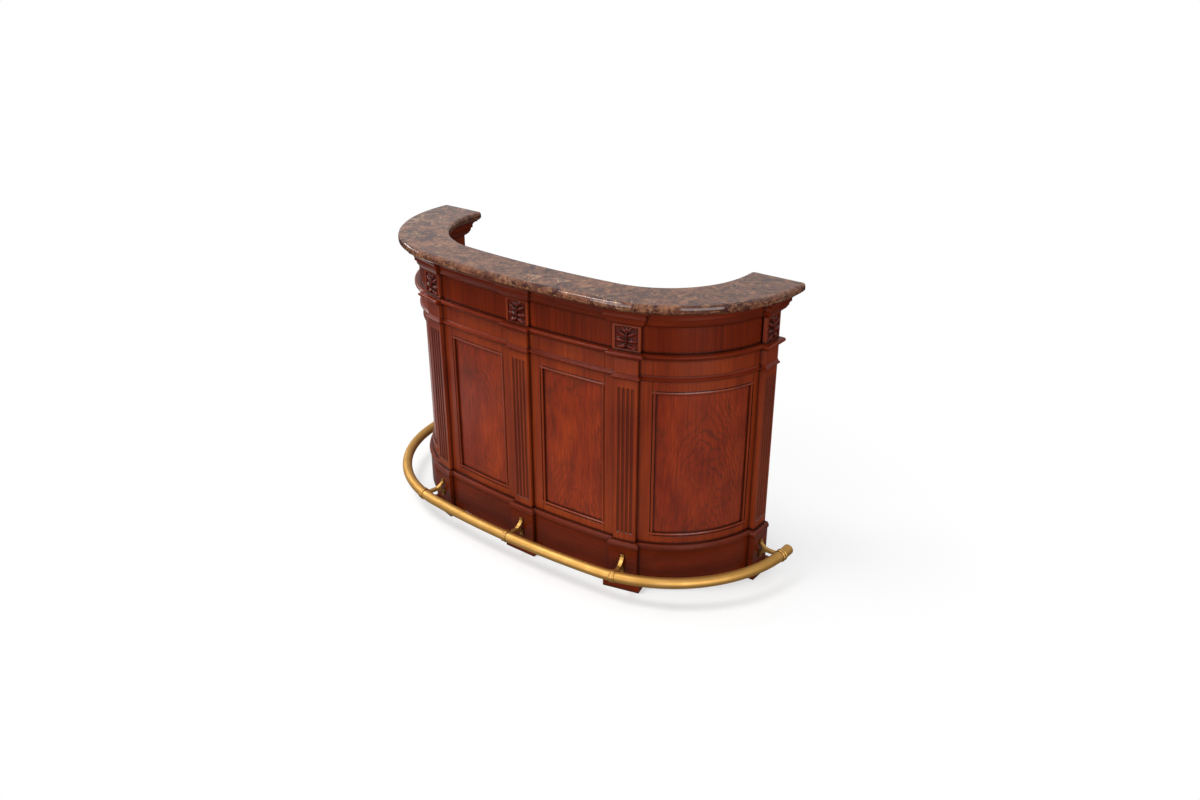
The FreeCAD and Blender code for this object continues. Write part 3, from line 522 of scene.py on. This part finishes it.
# Carved squares. The end blocks and their sunk squares lose a strip to the end plane.
END_SINK_WIDTH = SINK_WIDTH - (BLOCK_WIDTH - PILASTER_WIDTH) / 2
LEAF_OUT = BLOCK_FACE - SINK_DEPTH + LEAF_BACK + LEAF_SEAT
for width, names in ((SINK_WIDTH, STATIONS[:3]), (END_SINK_WIDTH, STATIONS[3:])):
    leaf = carved_leaf(width)
    for name in names:
        stand_copy(leaf, "carving_" + name, name, BLOCK_WIDTH, LEAF_OUT, SINK_MIDDLE, carved)
    bpy.data.objects.remove(leaf)

screw = slotted_screw()
for name in STATIONS:
    for end, rise in (("upper", SCREW_RISE), ("lower", -SCREW_RISE)):
        stand_copy(screw, "bracket_screw_" + name + "_" + end, name, PLINTH_WIDTH, PLINTH_FACE + PAD_THICK,
                   RAIL_HEIGHT + rise, cast_brass)
bpy.data.objects.remove(screw)

# Round rail tube in place of the faceted one: a circle swept along the right half of the plan, then mirrored.
bpy.ops.object.select_all(action="DESELECT")
bpy.ops.mesh.primitive_circle_add(vertices=RAIL_SIDES, radius=RAIL_RADIUS, rotation=(0.0, math.pi / 2, 0.0),
                                  location=(0.0, EDGE_Y - RAIL_REACH, RAIL_HEIGHT))
tube = bpy.context.object
tube.name = "rail_tube"
bpy.ops.object.transform_apply(location=True, rotation=True, scale=True)
bpy.ops.object.mode_set(mode="EDIT")
bpy.ops.mesh.select_all(action="SELECT")
bpy.ops.mesh.spin(steps=FRONT_STEPS, angle=-FRONT_TURN, center=(0.0, EDGE_Y + FRONT_RADIUS, 0.0),
                  axis=(0.0, 0.0, 1.0))
bpy.ops.mesh.spin(steps=END_STEPS, angle=FRONT_TURN - math.pi / 2, center=(END_X, END_Y, 0.0),
                  axis=(0.0, 0.0, 1.0))
bpy.ops.mesh.extrude_region_move(TRANSFORM_OT_translate={"value": (0.0, RAIL_PAST_END, 0.0)})
bpy.ops.object.mode_set(mode="OBJECT")
halves = tube.modifiers.new("halves", "MIRROR")
halves.merge_threshold = MIRROR_MERGE
bpy.ops.object.modifier_apply(modifier="halves")
bpy.ops.object.mode_set(mode="EDIT")
bpy.ops.mesh.select_all(action="SELECT")
bpy.ops.mesh.remove_doubles(threshold=SEAM_MERGE)
bpy.ops.mesh.normals_make_consistent(inside=False)
bpy.ops.object.mode_set(mode="OBJECT")
bpy.ops.object.shade_smooth()
wall = tube.modifiers.new("wall", "SOLIDIFY")
wall.thickness = RAIL_WALL
wall.offset = -1.0
bpy.ops.object.modifier_apply(modifier="wall")
tube.data.materials.append(tube_brass)
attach(tube, "root")
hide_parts("foot_rail")


def studio_paper():
    """White studio paper: pale with a soft shadow, fading to white far off, and dimmer to other rays, with
    painted light near the bar.
    """
    material, tree, place = start("white studio paper")
    seen = add(tree, "ShaderNodeLightPath").outputs["Is Camera Ray"]
    blotch = add(tree, "ShaderNodeTexNoise", {"Vector": place, "Scale": 1 / PAPER_BLOTCH})
    pale = add(tree, "ShaderNodeMix", {0: blotch, 6: rgb("#F6F6F6"), 7: rgb("#FAFAFA")}, data_type="RGBA")
    # Painted light: to other rays the paper is painted lighter near the bar and darker far off.
    oval = add(tree, "ShaderNodeVectorMath", {0: place, 1: PAPER_OVAL}, operation="MULTIPLY")
    reach = add(tree, "ShaderNodeVectorMath", {0: oval}, operation="LENGTH")
    away = add(tree, "ShaderNodeMapRange", {0: reach, 1: DIM_NEAR, 2: DIM_FAR})
    dim = add(tree, "ShaderNodeMix", {0: away, 6: rgb("#807E7C"), 7: rgb("#383634")}, data_type="RGBA")
    # Painted light: a lighter patch at the left end, which only reflections see, gives that end its pale
    # sheen.
    x = add(tree, "ShaderNodeSeparateXYZ", {0: place})
    leftward = add(tree, "ShaderNodeMapRange", {0: x, 1: GLOW_FROM_X, 2: GLOW_FULL_X})
    close = add(tree, "ShaderNodeMapRange", {0: reach, 1: GLOW_FULL, 2: GLOW_END, 3: 1.0, 4: 0.0})
    glow = add(tree, "ShaderNodeMath", {0: leftward, 1: close}, operation="MULTIPLY")
    dim = add(tree, "ShaderNodeMix", {0: glow, 6: dim, 7: rgb("#C8C6C4")}, data_type="RGBA")
    colour = add(tree, "ShaderNodeMix", {0: seen, 6: dim, 7: pale}, data_type="RGBA")
    sheet = add(tree, "ShaderNodeBsdfPrincipled", {"Base Color": colour, "Roughness": 0.9})
    white = add(tree, "ShaderNodeEmission", {"Color": WHITE, "Strength": 1.0})
    distance = add(tree, "ShaderNodeVectorMath", {0: place}, operation="LENGTH")
    fade = add(tree, "ShaderNodeMapRange", {0: distance, 1: FADE_NEAR, 2: FADE_FAR, 3: FADE_LEAST, 4: 1.0})
    veil = add(tree, "ShaderNodeMath", {0: fade, 1: seen}, operation="MULTIPLY")
    both = add(tree, "ShaderNodeMixShader", {0: veil, 1: sheet, 2: white})
    add(tree, "ShaderNodeOutputMaterial", {"Surface": both})
    return material


bpy.ops.object.select_all(action="DESELECT")
bpy.ops.mesh.primitive_plane_add(size=FLOOR_SIZE, location=(0.0, 0.0, 0.0))
floor = bpy.context.object
floor.name = "floor"
floor.data.materials.append(studio_paper())

# White surround: plain light on the bar, and full white behind it for the camera.
world = bpy.data.worlds.new("white surround")
bpy.context.scene.world = world
world.use_nodes = True
world.node_tree.nodes.clear()
seen = add(world.node_tree, "ShaderNodeLightPath").outputs["Is Camera Ray"]
around = add(world.node_tree, "ShaderNodeBackground", {"Color": WHITE, "Strength": SURROUND_STRENGTH})
behind = add(world.node_tree, "ShaderNodeBackground", {"Color": WHITE, "Strength": 1.0})
both = add(world.node_tree, "ShaderNodeMixShader", {0: seen, 1: around, 2: behind})
add(world.node_tree, "ShaderNodeOutputWorld", {"Surface": both})


def lamp(name, place, target, width, height, watts):
    """Soft box at a place, turned to a target."""
    data = bpy.data.lights.new(name, "AREA")
    data.shape = "RECTANGLE"
    data.size = width
    data.size_y = height
    data.energy = watts
    obj = bpy.data.objects.new(name, data)
    bpy.context.scene.collection.objects.link(obj)
    obj.location = place
    dx, dy, dz = (t - p for t, p in zip(target, place))
    obj.rotation_euler = (math.atan2(math.hypot(dx, dy), -dz), 0.0, math.atan2(dy, dx) - math.pi / 2)


# Each lamp's place and target in metres, its width and height in metres, and its watts.
lamp("key", (-1.1, -1.7, 3.9), (0.0, 0.0, 0.7), 1.1, 1.1, 80.0)
lamp("front", (-0.4, -4.0, 1.1), (0.0, 0.0, 0.6), 2.0, 2.0, 50.0)
lamp("right", (3.6, -2.0, 1.4), (0.2, 0.0, 0.5), 2.2, 2.2, 66.0)
lamp("left", (-3.8, -0.7, 2.3), (-0.4, -0.7, 0.9), 2.8, 0.35, 46.0)

camera = bpy.data.objects.new("camera", bpy.data.cameras.new("camera"))
bpy.context.scene.collection.objects.link(camera)
camera.location = CAMERA_PLACE
camera.rotation_euler = (math.pi / 2 - CAMERA_TILT, 0.0, CAMERA_TURN)
camera.data.sensor_width = CAMERA_SENSOR
camera.data.lens = CAMERA_LENS
bpy.context.scene.camera = camera
bpy.context.scene.view_settings.view_transform = "Standard"
